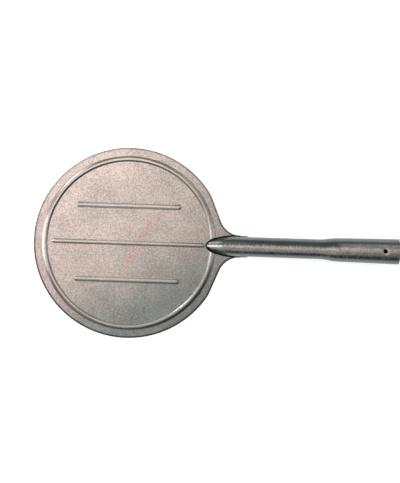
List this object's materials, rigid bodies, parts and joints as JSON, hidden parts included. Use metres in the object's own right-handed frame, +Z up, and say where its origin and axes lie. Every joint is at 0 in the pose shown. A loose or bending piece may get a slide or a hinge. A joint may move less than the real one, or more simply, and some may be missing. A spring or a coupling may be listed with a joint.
{
  "type": "pizza peel head",
  "caption": "Round pressed steel pizza peel head with a beaded rim, raised stiffening ribs and a rolled, flared socket that takes a wooden pole.",
  "frame": {"origin": "under the middle of the overall length, on the plane that the blade's underside lies on", "axes": "+X along the handle towards the socket mouth, +Y across the blade, +Z up out of the blade's upper face"},
  "size_m": [0.57, 0.3, 0.0551],
  "materials": {
    "pressed_steel": "satin mill finish, fine even grain, light oven tint",
    "rolled_steel": "satin mill finish with faint ripples round the pipe from rolling",
    "weld": "dark, dull, rippled weld metal"
  },
  "bodies": {
    "root": {"blade": "pressed_steel", "socket": "rolled_steel", "nose_weld": "weld", "neck_weld": "weld", "seam_tack_1": "weld", "seam_tack_2": "weld", "seam_tack_3": "weld", "seam_tack_4": "weld"}
  },
  "joints": []
}
